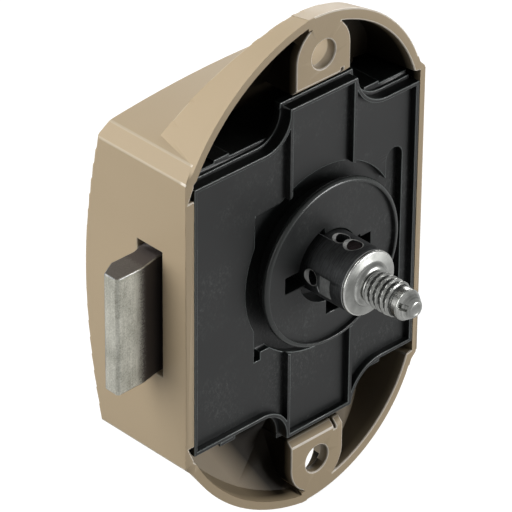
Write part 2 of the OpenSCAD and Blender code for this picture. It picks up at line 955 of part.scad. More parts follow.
bolt_spring_r = rod_d / 2 + 0.3 + spring_wire / 2;
bolt_spring_x = carriage_x + wing_t;
bolt_spring_len = post_x - bolt_spring_x;
echo("least gap of a bolt spring to itself, bolt out, mm", turn_gap(bolt_spring_len, bolt_spring_r));
echo("least gap of a bolt spring to itself, bolt in, mm",
     turn_gap(bolt_spring_len - bolt_throw, bolt_spring_r));

module bolt_spring() {
    translate([bolt_spring_x, rod_y, rod_z])
        rotate([0, 90, 0])
            coil(bolt_spring_len, bolt_spring_r);
}

module upper_bolt_spring() {
    color("#b4b6b8") from_spindle()
        bolt_spring();
}

module lower_bolt_spring() {
    color("#b4b6b8") from_spindle()
        mirror([0, 0, 1])
            bolt_spring();
}

cover_shell();
back_plate();
retainer_disc();
stop_washer();
spindle();
head_pin();
threaded_stud();
plunger_collar();
cam_pins();
spindle_spring();
latch_bolt();
bolt_pin();
bolt_carriage();
heart_cam();
latch_wire();
upper_guide_rod();
lower_guide_rod();
upper_bolt_spring();
lower_bolt_spring();
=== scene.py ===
import math

import bmesh
import bpy
import numpy as np
from mathutils import Matrix, Vector


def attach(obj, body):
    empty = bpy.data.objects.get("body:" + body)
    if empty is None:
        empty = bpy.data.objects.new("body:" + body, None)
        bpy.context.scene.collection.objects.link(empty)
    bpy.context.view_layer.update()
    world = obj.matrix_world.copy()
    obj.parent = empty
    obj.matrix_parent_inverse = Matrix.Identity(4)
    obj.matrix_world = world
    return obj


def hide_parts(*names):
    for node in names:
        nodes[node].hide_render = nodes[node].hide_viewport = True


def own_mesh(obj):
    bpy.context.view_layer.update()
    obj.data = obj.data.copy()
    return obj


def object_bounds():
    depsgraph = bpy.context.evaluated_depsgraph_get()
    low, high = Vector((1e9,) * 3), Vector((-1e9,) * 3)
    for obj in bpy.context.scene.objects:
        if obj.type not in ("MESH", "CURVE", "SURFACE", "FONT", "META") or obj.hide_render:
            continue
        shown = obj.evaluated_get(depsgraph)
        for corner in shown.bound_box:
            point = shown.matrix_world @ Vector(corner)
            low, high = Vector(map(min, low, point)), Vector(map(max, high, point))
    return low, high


MM = 0.001
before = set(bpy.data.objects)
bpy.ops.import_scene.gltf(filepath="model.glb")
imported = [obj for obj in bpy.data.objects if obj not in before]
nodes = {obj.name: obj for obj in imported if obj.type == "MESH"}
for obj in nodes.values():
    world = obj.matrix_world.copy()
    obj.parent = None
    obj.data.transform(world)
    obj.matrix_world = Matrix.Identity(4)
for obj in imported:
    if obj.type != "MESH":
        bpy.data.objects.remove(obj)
scene = bpy.context.scene
cad_low, cad_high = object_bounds()


# The camera and the studio.
# The photographer stood in front of the bolt's corner and a little above the case, with a long lens. The
# light comes from the left and behind, from above, from the front right and weakly from the far side.

azimuth = math.radians(-43.9)
elevation = math.radians(32.551)
roll = math.radians(0.486)
focal_px = 4506.45
photo_px = 512
camera_distance = 576.356 * MM
camera_target = Vector((-11.63, 0, 6.017)) * MM

level = math.cos(elevation)
away = Vector((level * math.sin(azimuth), -level * math.cos(azimuth), math.sin(elevation)))
right = Vector((math.cos(azimuth), math.sin(azimuth), 0))
up = away.cross(right)
camera_right = math.cos(roll) * right + math.sin(roll) * up
camera_up = math.cos(roll) * up - math.sin(roll) * right

camera_data = bpy.data.cameras.new("camera")
camera_data.sensor_width = 36
camera_data.lens = focal_px / photo_px * camera_data.sensor_width
camera_data.clip_start = 0.01
camera = bpy.data.objects.new("camera", camera_data)
camera_turn = Matrix((camera_right, camera_up, away)).transposed().to_4x4()
camera.matrix_world = Matrix.Translation(camera_target + away * camera_distance) @ camera_turn
scene.collection.objects.link(camera)
scene.camera = camera
scene.view_settings.view_transform = "Standard"


def linear(hex_code):
    """Turns an sRGB hex colour into Blender's linear values, with an alpha of 1."""
    srgb = np.array([int(hex_code[i : i + 2], 16) for i in (1, 3, 5)]) / 255
    values = np.where(srgb <= 0.04045, srgb / 12.92, ((srgb + 0.055) / 1.055) ** 2.4)
    return (*values.tolist(), 1)


def node(tree, kind, inputs=(), **settings):
    """Adds one shader node. Each input is a value, or the socket that feeds it."""
    made = tree.nodes.new("ShaderNode" + kind)
    for name, value in settings.items():
        setattr(made, name, value)
    for name, value in dict(inputs).items():
        if isinstance(value, bpy.types.NodeSocket):
            tree.links.new(value, made.inputs[name])
        else:
            made.inputs[name].default_value = value
    return made


# The world is white for the camera, a softer white in reflections and next to no light in the shadows.
sky_in_gloss = 0.45
sky_in_shadow = 0.015
world = bpy.data.worlds.new("studio")
world.use_nodes = True
sky = world.node_tree
sky.nodes.clear()
ray = node(sky, "LightPath")
terms = {0: ray.outputs["Is Glossy Ray"], 1: sky_in_gloss, 2: sky_in_shadow}
unseen = node(sky, "Math", terms, operation="MULTIPLY_ADD")
terms = {0: ray.outputs["Is Camera Ray"], 1: unseen.outputs[0]}
strength = node(sky, "Math", terms, operation="MAXIMUM")
white = node(sky, "Background", {"Color": (1, 1, 1, 1), "Strength": strength.outputs[0]})
node(sky, "OutputWorld", {"Surface": white.outputs[0]})
scene.world = world


def lamp(name, place, width, power, aim=(0, 0, 0)):
    """A square soft lamp, in millimetres, that points at a place on the object."""
    data = bpy.data.lights.new(name, "AREA")
    data.size = width * MM
    data.energy = power
    made = bpy.data.objects.new(name, data)
    made.location = Vector(place) * MM
    made.rotation_euler = (Vector(aim) * MM - made.location).to_track_quat("-Z", "Y").to_euler()
    scene.collection.objects.link(made)
    return made


lamp("side_lamp", (-340, 150, 130), width=400, power=1.4)
lamp("top_lamp", (-90, 150, 400), width=200, power=0.76)
lamp("front_lamp", (215, -335, 45), width=150, power=0.94)
lamp("far_lamp", (330, 260, 150), width=250, power=0.9)


def new_material(name):
    """A material with an empty node tree."""
    material = bpy.data.materials.new(name)
    material.use_nodes = True
    material.node_tree.nodes.clear()
    return material


def mesh_object(name, points, faces, closed=True):
    """An object from points, in metres, and faces. A closed mesh gets its normals turned outwards."""
    mesh = bpy.data.meshes.new(name)
    mesh.from_pydata(np.asarray(points).tolist(), [], faces)
    if closed:
        work = bmesh.new()
        work.from_mesh(mesh)
        bmesh.ops.recalc_face_normals(work, faces=work.faces)
        work.to_mesh(mesh)
        work.free()
    made = bpy.data.objects.new(name, mesh)
    scene.collection.objects.link(made)
    return made


# White sweep, in metres: the camera sees it as plain white. Gloss reflects it as a bright table.
floor_gap = 0.0002
floor_half = 4
table_in_gloss = 0.6
floor_z = cad_low[2] - floor_gap
corners = [(floor_half * x, floor_half * y, floor_z) for x, y in ((-1, -1), (1, -1), (1, 1), (-1, 1))]
floor = mesh_object("floor", corners, [(0, 1, 2, 3)], closed=False)
sweep = new_material("white_paper_sweep")
ray = node(sweep.node_tree, "LightPath")
paper = node(sweep.node_tree, "BsdfDiffuse", {"Color": linear("#606060")})
terms = {0: ray.outputs["Is Glossy Ray"], 1: table_in_gloss}
table = node(sweep.node_tree, "Math", terms, operation="MULTIPLY")
terms = {0: ray.outputs["Is Camera Ray"], 1: table.outputs[0]}
lift = node(sweep.node_tree, "Math", terms, operation="MAXIMUM")
glow = node(sweep.node_tree, "Emission", {"Color": (1, 1, 1, 1), "Strength": lift.outputs[0]})
both = node(sweep.node_tree, "AddShader", {0: paper.outputs[0], 1: glow.outputs[0]})
node(sweep.node_tree, "OutputMaterial", {"Surface": both.outputs[0]})
floor.data.materials.append(sweep)


# Cover shell.
# One injection moulding in beige plastic: the raised block with its curved front, the two round ends
# and the screw tabs. It is screwed to the inner face of the door.


def rounded_copy(name, body, edge, steps=2, angle=32, broad=0.15, share=None):
    """A copy of a CAD node with flat faces joined up and its outward edges rounded by a radius, in mm.

    The copy's doubles are merged and its flat triangles dissolved. The Bevel modifier then rounds every
    outward edge whose faces turn by more than the angle and are broader than broad, in mm; an inward edge
    stays sharp. The rounded strips take the piece's second material. share gives an edge's part of the
    radius from its middle, in mm.
    """
    same_place = 1e-6
    flat = math.radians(0.5)
    most_corners = 8
    mesh = nodes[name].data.copy()
    mesh.materials.clear()
    work = bmesh.new()
    work.from_mesh(mesh)
    bmesh.ops.remove_doubles(work, verts=work.verts, dist=same_place)
    bmesh.ops.dissolve_limit(work, angle_limit=flat, verts=work.verts, edges=work.edges)
    many_cornered = [face for face in work.faces if len(face.verts) > most_corners]
    bmesh.ops.triangulate(work, faces=many_cornered)
    weight = work.edges.layers.float.new("bevel_weight_edge")
    for face in work.faces:
        face.smooth = True
    for border in work.edges:
        if len(border.link_faces) == 2 and border.calc_face_angle() > math.radians(angle):
            breadth = min(face.calc_area() for face in border.link_faces) / border.calc_length()
            rounds = border.is_convex and breadth > broad * MM
            middle = (border.verts[0].co + border.verts[1].co) / (2 * MM)
            border[weight] = (share(middle) if share else 1.0) if rounds else 0.0
            border.smooth = rounds
    work.to_mesh(mesh)
    work.free()
    made = bpy.data.objects.new(name + "_look", mesh)
    scene.collection.objects.link(made)
    bevel = made.modifiers.new("edge_rounding", "BEVEL")
    bevel.width = edge * MM
    bevel.segments = steps
    bevel.limit_method = "WEIGHT"
    bevel.material = 1
    bevel.use_clamp_overlap = False
    bevel.loop_slide = False
    bevel.miter_outer = "MITER_ARC"
    weighted = made.modifiers.new("flat_faces_stay_flat", "WEIGHTED_NORMAL")
    weighted.weight = 80
    weighted.keep_sharp = True
    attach(made, body)
    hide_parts(name)
    return made


def finish_with(target, *materials, slot_name=None):
    """Gives a piece its materials. slot_name is not used."""
    target.data.materials.clear()
    for material in materials:
        target.data.materials.append(material)


def pocket_shade(tree, place):
    """Painted shade: how far the plastic's colour is darkened in the deep hollows beside the screw tabs.

    shade = f(n . (c - p)) * g(|c - p|) * h(y) * m(p), with p the place, n the normal and c the mouth of the
    nearest hollow, at (+-12, 1, +-22) mm. f, g and h are ramps from 0 to 1. m is 0.97 in the upper hollows,
    and falls from 0.97 to 0.42 in the lower ones as 0.54 |z| + |x + 1.05| rises.
    """
    mouth_x, mouth_y, mouth_z = 12 * MM, 1.0 * MM, 22 * MM
    darkest_x = -1.05 * MM
    lean = 0.54
    most = 0.97
    least = 0.42
    spot = node(tree, "SeparateXYZ", {"Vector": place})
    normal = node(tree, "NewGeometry").outputs["True Normal"]
    side = node(tree, "Math", {0: spot.outputs["X"]}, operation="SIGN")
    end = node(tree, "Math", {0: spot.outputs["Z"]}, operation="SIGN")
    mouth_at_x = node(tree, "Math", {0: side.outputs[0], 1: mouth_x}, operation="MULTIPLY")
    mouth_at_z = node(tree, "Math", {0: end.outputs[0], 1: mouth_z}, operation="MULTIPLY")
    corner = {"X": mouth_at_x.outputs[0], "Y": mouth_y, "Z": mouth_at_z.outputs[0]}
    mouth = node(tree, "CombineXYZ", corner)
    toward = node(tree, "VectorMath", {0: mouth.outputs[0], 1: place}, operation="SUBTRACT")
    toward = toward.outputs[0]
    reach = node(tree, "VectorMath", {0: toward}, operation="LENGTH").outputs["Value"]
    inward = node(tree, "VectorMath", {0: toward, 1: normal}, operation="DOT_PRODUCT").outputs["Value"]
    faces_in = node(tree, "MapRange", {"Value": inward, "From Min": 0, "From Max": 0.3 * MM})
    near = node(tree, "MapRange", {"Value": reach, "From Min": 19 * MM, "From Max": 15 * MM})
    deep = node(tree, "MapRange", {"Value": spot.outputs["Y"], "From Min": 0.2 * MM, "From Max": 1.4 * MM})
    beside = node(tree, "Math", {0: spot.outputs["X"], 1: -darkest_x}, operation="ADD")
    beside = node(tree, "Math", {0: beside.outputs[0]}, operation="ABSOLUTE")
    height = node(tree, "Math", {0: spot.outputs["Z"]}, operation="ABSOLUTE")
    terms = {0: height.outputs[0], 1: lean, 2: beside.outputs[0]}
    slanted = node(tree, "Math", terms, operation="MULTIPLY_ADD")
    ramp = {"Value": slanted.outputs[0], "From Min": 27.6 * MM, "From Max": 23.6 * MM}
    most_below = node(tree, "MapRange", {**ramp, "To Min": least, "To Max": most})
    ramp = {"Value": end.outputs[0], "From Min": -1, "From Max": 1}
    most_here = node(tree, "MapRange", {**ramp, "To Min": most_below.outputs[0], "To Max": most})
    shade = faces_in
    for factor in (near, deep, most_here):
        shade = node(tree, "Math", {0: shade.outputs[0], 1: factor.outputs[0]}, operation="MULTIPLY")
    return shade.outputs[0]


def moulded_plastic(
    name, shade, pale, rough, grain_mm, grain_depth, bounce=1.0, scuff=0.0, hollows=False, rim=None
):
    """Injection-moulded plastic: slow cloudy colour, satin gloss and the fine grain of an eroded mould.

    grain_mm is the grain's size and grain_depth its height, in mm. bounce is the share of light that the
    plastic passes on to its own hollows. scuff adds fine pale scratches in a few worn places. hollows paints
    shade into the deep pockets beside the screw tabs, and lowers the gloss there. rim is the paler colour of
    an edge strip near the mounting face: a painted highlight. A real mould's grain and scratches are under
    0.1 mm, too fine to show here, so both are drawn coarser.
    """
    cloud_mm = 9
    scratch_mm = 0.4
    gloss_spread = 0.05
    material = new_material(name)
    tree = material.node_tree
    place = node(tree, "TexCoord").outputs["Object"]
    pattern = {"Vector": place, "Scale": 1 / (cloud_mm * MM), "Detail": 4.0, "Roughness": 0.6}
    cloud = node(tree, "TexNoise", pattern).outputs["Fac"]
    layer = {"Factor": cloud, "A": linear(shade), "B": linear(pale)}
    shown = node(tree, "Mix", layer, data_type="RGBA").outputs["Result"]
    if scuff:
        worn = node(tree, "MapRange", {"Value": cloud, "From Min": 0.46, "From Max": 0.64})
        turned = node(tree, "Mapping", {"Vector": place, "Rotation": (0.3, 0.7, 0.2), "Scale": (1, 1, 0.6)})
        pattern = {"Vector": turned.outputs[0], "Scale": 1 / (scratch_mm * MM)}
        lines = node(tree, "TexNoise", {**pattern, "Detail": 8.0, "Roughness": 0.85}).outputs["Fac"]
        fine = node(tree, "MapRange", {"Value": lines, "From Min": 0.5, "From Max": 0.75, "To Max": scuff})
        amount = node(tree, "Math", {0: worn.outputs[0], 1: fine.outputs[0]}, operation="MULTIPLY")
        layer = {"Factor": amount.outputs[0], "A": shown, "B": linear("#8d908e")}
        shown = node(tree, "Mix", layer, data_type="RGBA").outputs["Result"]
    if rim:
        # Painted highlight: a paler strip along the edges near the mounting face.
        depth = node(tree, "SeparateXYZ", {"Vector": place}).outputs["Y"]
        at_rim = node(tree, "MapRange", {"Value": depth, "From Min": 1.1 * MM, "From Max": 0.6 * MM})
        layer = {"Factor": at_rim.outputs[0], "A": shown, "B": linear(rim)}
        shown = node(tree, "Mix", layer, data_type="RGBA").outputs["Result"]
    sheen = 0.5
    if hollows:
        # Painted shade in the deep hollows beside the tabs, with less gloss where it is darkest.
        dark = pocket_shade(tree, place)
        layer = {"Factor": dark, "A": shown, "B": linear("#0a0704")}
        shown = node(tree, "Mix", layer, data_type="RGBA").outputs["Result"]
        sheen = node(tree, "MapRange", {"Value": dark, "To Min": 0.5, "To Max": 0.08}).outputs[0]
    if bounce < 1:
        bounced = node(tree, "LightPath").outputs["Is Diffuse Ray"]
        held_back = node(tree, "Math", {0: bounced, 1: 1 - bounce}, operation="MULTIPLY")
        layer = {"Factor": held_back.outputs[0], "A": shown, "B": (0, 0, 0, 1)}
        shown = node(tree, "Mix", layer, data_type="RGBA").outputs["Result"]
    grain = node(tree, "TexNoise", {"Vector": place, "Scale": 1 / (grain_mm * MM), "Detail": 2.0})
    ramp = {"Value": cloud, "From Min": 0.3, "From Max": 0.7}
    gloss = node(tree, "MapRange", {**ramp, "To Min": rough - gloss_spread, "To Max": rough + gloss_spread})
    bumps = {"Height": grain.outputs["Fac"], "Strength": 0.6, "Distance": grain_depth * MM}
    relief = node(tree, "Bump", bumps)
    coat = {"Base Color": shown, "Roughness": gloss.outputs[0], "Normal": relief.outputs[0]}
    base = node(tree, "BsdfPrincipled", {**coat, "IOR": 1.49, "Specular IOR Level": sheen})
    node(tree, "OutputMaterial", {"Surface": base.outputs[0]})
    return material


# Beige ABS gives the eye a warm, even satin surface. Its edge strips are painted paler, a painted
# highlight that is nearly white at the rim.
beige_abs = moulded_plastic(
    "beige_abs_moulding",
    "#bca888",
    "#c2ae90",
    rough=0.5,
    grain_mm=0.35,
    grain_depth=0.008,
    bounce=0.1,
    hollows=True,
)
beige_highlight_edge = moulded_plastic(
    "beige_abs_edge_highlight",
    "#c5b59a",
    "#c9ba9f",
    rough=0.4,
    grain_mm=0.35,
    grain_depth=0.004,
    bounce=0.1,
    hollows=True,
    rim="#f3e8d6",
)
cover_shell = rounded_copy("cover_shell", "case", edge=0.2, broad=0.6)
finish_with(cover_shell, beige_abs, beige_highlight_edge, slot_name="shell_plastic")


# Back plate.
# A black glass-filled moulding that closes the chamber, with beads, ribs and the recess round the disc.
# Its four hooks snap behind ridges in the shell.

# Black nylon gives a deep satin black with dusty scratches. Its edge strips are painted grey, a painted
# highlight that draws a thin line round each form.
black_nylon = moulded_plastic(
    "black_nylon_moulding", "#0a0c0c", "#131616", rough=0.42, grain_mm=0.5, grain_depth=0.012, scuff=0.45
)
black_highlight_edge = moulded_plastic(
    "black_nylon_edge_highlight", "#5f6665", "#868c8a", rough=0.28, grain_mm=0.5, grain_depth=0.004
)
back_plate = rounded_copy("back_plate", "case", edge=0.11)
finish_with(back_plate, black_nylon, black_highlight_edge, slot_name="plate_plastic")


# Retainer disc and stop washer.
# The disc is a black moulding that fits the hole drilled in the door; its keyed opening takes the
# sleeve of the knob. Behind it a rubber washer takes the blow when the spindle springs out.

spindle_x = 1.05
disc_rim_from = 11.9
opening_share = 0.25


def rim_share(middle):
    """The disc's outer rim has the full radius, and its keyed opening is nearly sharp."""
    at_rim = math.hypot(middle.x - spindle_x, middle.z) > disc_rim_from
    return 1.0 if at_rim else opening_share


retainer_disc = rounded_copy("retainer_disc", "case", edge=0.5, steps=4, share=rim_share)
# The rim's nylon is polished by handling, so glossier; its lighter grey is a painted highlight that
# runs round the disc.
rim_highlight_nylon = moulded_plastic(
    "black_nylon_rim_highlight", "#2b2f2e", "#414543", rough=0.26, grain_mm=0.5, grain_depth=0.006
)
finish_with(retainer_disc, black_nylon, rim_highlight_nylon, slot_name="plate_plastic")
# Nitrile rubber is dull black, with hardly a highlight.
black_rubber = moulded_plastic(
    "black_nitrile_rubber", "#141414", "#1a1a1a", rough=0.7, grain_mm=0.3, grain_depth=0.01
)
finish_with(nodes["stop_washer"], black_rubber)


# Spindle and head pin.
# A turned steel spindle with a black oxide finish, drilled crossways for the pin that holds the stud,
# and milled with a small recess on its side.

spindle_r = 4.6


def turned_metal(name, dark, light, rough, metallic=1.0, streak_mm=0.12):
    """Turned or drawn metal: fine rings round the Y axis, slow stains and a roughness that varies with both.

    The rings of a real cut are about 0.05 mm apart. Where that is too fine to show, they are drawn coarser.
    """
    stain_mm = 2.2
    gloss_spread = 0.06
    material = new_material(name)
    tree = material.node_tree
    place = node(tree, "TexCoord").outputs["Object"]
    pattern = {"Vector": place, "Scale": 1 / (stain_mm * MM), "Detail": 5.0, "Roughness": 0.65}
    stain = node(tree, "TexNoise", pattern)
    along = node(tree, "Mapping", {"Vector": place, "Scale": (0.08, 1, 0.08)})
    pattern = {"Vector": along.outputs[0], "Scale": 1 / (streak_mm * MM), "Detail": 2.0}
    rings = node(tree, "TexNoise", pattern).outputs["Fac"]
    mixed = node(tree, "Math", {0: stain.outputs["Fac"], 1: rings}, operation="MULTIPLY")
    ramp = {"Value": mixed.outputs[0], "From Min": 0.12, "From Max": 0.4}
    spread = node(tree, "MapRange", ramp).outputs[0]
    colour = node(tree, "Mix", {"Factor": spread, "A": linear(dark), "B": linear(light)}, data_type="RGBA")
    ramp = {"Value": spread, "To Min": rough + gloss_spread, "To Max": rough - gloss_spread}
    gloss = node(tree, "MapRange", ramp)
    relief = node(tree, "Bump", {"Height": rings, "Strength": 0.35, "Distance": 0.01 * MM})
    coat = {"Base Color": colour.outputs["Result"], "Roughness": gloss.outputs[0], "Metallic": metallic}
    base = node(tree, "BsdfPrincipled", {**coat, "Normal": relief.outputs[0]})
    node(tree, "OutputMaterial", {"Surface": base.outputs[0]})
    return material


def chamfer_ring(name, bore_r, depth_at, from_above, toward, steps=72):
    """A bright chamfer round a cross hole in the spindle, in mm, widest on the side at the angle toward,
    where it draws a painted glint.

    It follows the curve in which a cylinder of radius bore_r, at depth_at along Y, cuts the spindle's own
    cylinder: height(a) = sqrt(spindle_r^2 - (bore_r cos a)^2).
    """
    narrowest = 0.06
    widening = 0.42
    # Four lines round the hole. Each adds to its radius, then to its height: mm, and a share of the width.
    section = ((0.05, 0, 0.01, 0), (0, 0, 0.012, 0), (0, -1, 0, -0.7), (0, 0, 0, -0.9))
    angle = np.linspace(0, 2 * np.pi, steps, endpoint=False)
    width = narrowest + widening * np.clip(np.cos(angle - math.radians(toward)), 0, 1)
    lines = []
    for wider, wider_share, higher, higher_share in section:
        r = bore_r + wider + wider_share * width
        across = r * np.cos(angle)
        along = depth_at + r * np.sin(angle)
        height = np.sqrt(spindle_r**2 - across**2) + higher + higher_share * width
        if from_above:
            lines.append(np.stack([spindle_x + across, along, height], axis=-1))
        else:
            lines.append(np.stack([spindle_x - height, along, across], axis=-1))
    ring = np.arange(steps)
    after = np.roll(ring, -1)
    faces = []
    for k in range(len(section)):
        low = k * steps
        high = (k + 1) % len(section) * steps
        faces += np.stack([low + ring, low + after, high + after, high + ring], axis=-1).tolist()
    made = mesh_object(name, np.concatenate(lines) * MM, faces)
    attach(made, "plunger")
    return made


# Black oxide gives a dark grey metal with faint rings. Its edge strips are paler: partly bare where the
# oxide rubs off, partly a painted highlight.
black_oxide = turned_metal("black_oxide_steel", "#454647", "#77797a", rough=0.44)
rubbed_and_highlight_steel = turned_metal("rubbed_steel_edge_highlight", "#8a8c8c", "#c4c5c3", rough=0.3)
spindle = rounded_copy("spindle", "plunger", edge=0.1, angle=50)
finish_with(spindle, black_oxide, rubbed_and_highlight_steel, slot_name="dark_metal")
# The pin's oxide has a brown tinge.
brown_oxide = turned_metal("brown_oxide_pin", "#3a3233", "#574c4d", rough=0.5)
finish_with(nodes["head_pin"], brown_oxide)
# The drill cut through the oxide, so bare steel shows at each hole; its near-white crescent is also a
# painted glint.
bare_steel_glint = turned_metal("bare_drilled_steel_glint", "#a9aaa8", "#dcdcd8", rough=0.4, metallic=0.25)
for hole, bore_r, depth_at, from_above, toward in (
    ("front_hole_chamfer", 1.3, -4.9, True, 135),
    ("rear_hole_chamfer", 1.15, -2.7, True, 150),
    ("side_hole_chamfer", 1.15, -1.8, False, 90),
):
    finish_with(chamfer_ring(hole, bore_r, depth_at, from_above, toward), bare_steel_glint)

# Floor of the milled recess, as the cutter left it: brighter and coarser than the turned skin.
# x = floor_x - ripple sin^2(9 y + 3 z), just in front of the solid's own flat floor.
recess_depth = 0.5
ripple = 0.006
floor_x = spindle_x - spindle_r + recess_depth - 2 * ripple
grid_y = np.linspace(-5.17, -3.03, 12)
grid_z = np.linspace(-2.05, 0.97, 16)
row = len(grid_z)
milled = [(floor_x - ripple * math.sin(9 * y + 3 * z) ** 2, y, z) for y in grid_y for z in grid_z]
starts = [row * i + j for i in range(len(grid_y) - 1) for j in range(row - 1)]
milled_faces = [(k, k + 1, k + row + 1, k + row) for k in starts]
milled_floor = mesh_object("milled_floor", np.array(milled) * MM, milled_faces, closed=False)
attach(milled_floor, "plunger")
milled_steel = turned_metal("milled_steel", "#808281", "#c0c2c0", rough=0.5, metallic=0.4, streak_mm=0.05)
finish_with(milled_floor, milled_steel)


# Threaded stud.
# Bright zinc-plated steel: a thin flange that covers the spindle's face, a flared neck, a rolled thread,
# a plain pilot and a pointed tip, on which the push knob is screwed.


def round_mesh(name, depths, radii):
    """A closed mesh round the spindle's axis: radii[i, j] is at depths[i] and angle 2 pi j / sides, mm."""
    sharp = math.radians(38)
    count, sides = radii.shape
    angle = np.linspace(0, 2 * np.pi, sides, endpoint=False)
    points = np.empty((count, sides, 3))
    points[..., 0] = spindle_x + radii * np.cos(angle)
    points[..., 1] = depths[:, None]
    points[..., 2] = radii * np.sin(angle)
    first = np.arange((count - 1) * sides).reshape(count - 1, sides)
    beside = np.roll(first, -1, axis=1)
    quads = np.stack([first, beside, beside + sides, first + sides], axis=-1).reshape(-1, 4).tolist()
    caps = [list(range(sides)), list(range((count - 1) * sides, count * sides))]
    made = mesh_object(name, points.reshape(-1, 3) * MM, quads + caps)
    for face in made.data.polygons:
        face.use_smooth = True
    made.data.set_sharp_from_angle(angle=sharp)
    return made


# The outline from the flange to the tip, as depths along Y and radii
thread_start = -9.05
thread_end = -13.75
core_r = 2.1
head = [(-6.5, core_r), (-7.5, core_r), (-7.5, 4.55), (-7.56, 4.6)]
head += [(-7.8, 4.6), (-7.92, 4.55), (-8.0, 4.42), (-8.02, 3.3)]
flare = [(-8.05 - 0.85 * math.sin(a), 3.1 - 1.0 * (1 - math.cos(a))) for a in np.linspace(0.15, 1.5, 8)]
thread_rows = [(y, core_r) for y in np.arange(thread_start, thread_end, -0.06)]
pilot = [(-13.85, 2.14), (-14.0, 2.14), (-14.62, 2.12), (-14.7, 2.02)]
pilot += [(-14.78, 2.04), (-14.86, 2.18), (-14.98, 2.16)]
cone = [(y, 2.12 - 0.68 * (-15.04 - y)) for y in np.arange(-15.04, -16.4, -0.08)]
tip = [(-16.44, 1.12), (-16.5, 1.02), (-16.5, 0.82), (-16.46, 0.76), (-16.46, 0.3)]
rows = np.array(head + flare + thread_rows + pilot + cone + tip)
row_y = rows[:, :1]
row_r = rows[:, 1:]

# The thread: r(y, a) = row_r + fade(y) * (crest * ridge(-y / pitch - a / 2 pi) - dip), where ridge is a
# rounded triangle wave. It fades in at the start and out at the end.
thread_pitch = 0.95
crest = 0.44
dip = 0.05
runout = 0.5
stud_sides = 160
turn = np.linspace(0, 1, stud_sides, endpoint=False)
phase = np.mod(-row_y / thread_pitch - turn[None, :], 1)
ridge = np.clip(1.5 * (1 - np.abs(2 * phase - 1)) - 0.25, 0, 1)
fade = np.clip((thread_start - row_y) / runout, 0, 1) * np.clip((row_y - thread_end) / runout, 0, 1)
stud_radii = row_r + fade * (crest * ridge - dip)

# Drilled mark on the tip's slope
mark_turn = 0.44
mark_r = 0.42
mark_low = -16.1
mark_high = -15.15
mark_depth = 0.55
off_mark = np.abs(np.mod(turn[None, :] - mark_turn + 0.5, 1) - 0.5) * 2 * np.pi * row_r
marked = (off_mark < mark_r) & (row_y < mark_high) & (row_y > mark_low)
stud_radii = np.where(marked, stud_radii - mark_depth, stud_radii)

threaded_stud = round_mesh("threaded_stud_look", rows[:, 0], stud_radii)
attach(threaded_stud, "plunger")
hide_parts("threaded_stud")

# Bright zinc mirrors the studio softly on the neck and the thread's crests. The flange's rim is polished
# and glossier, and its lighter colour is a painted highlight; its face is dull from the cut. The thread's
# roots are darker: partly oil and dirt, partly painted shade in the grooves.
bright_zinc = turned_metal("bright_zinc_plated_steel", "#7d7e7b", "#c6c7c3", rough=0.27, streak_mm=0.3)
polished_zinc_highlight = turned_metal("polished_zinc_rim_highlight", "#b4b5b2", "#dededa", rough=0.22)
faced_zinc = turned_metal("faced_zinc_flange", "#8e8f8c", "#b9bab6", rough=0.5, streak_mm=0.3)
oiled_zinc_and_shade = turned_metal("oiled_zinc_thread_root_shade", "#2f302f", "#5c5d5b", rough=0.4, streak_mm=0.3)
finish_with(threaded_stud, bright_zinc, polished_zinc_highlight, faced_zinc, oiled_zinc_and_shade, slot_name="stud_metal")
rim_inner = -7.86
rim_outer = -7.99
face_outer = -8.3
root_r = 2.2
for face in threaded_stud.data.polygons:
    depth = face.center[1] / MM
    reach = math.hypot(face.center[0] / MM - spindle_x, face.center[2] / MM)
    if rim_outer < depth < rim_inner:
        face.material_index = 1
    elif face_outer < depth <= rim_outer:
        face.material_index = 2
    # Thread roots: oil and dirt, and painted shade in the grooves.
    elif thread_end < depth < thread_start and reach < root_r:
        face.material_index = 3


# Latch bolt and its pin.
# A zinc die casting with a flat face and a hollow bevel, left as cast and tumbled.


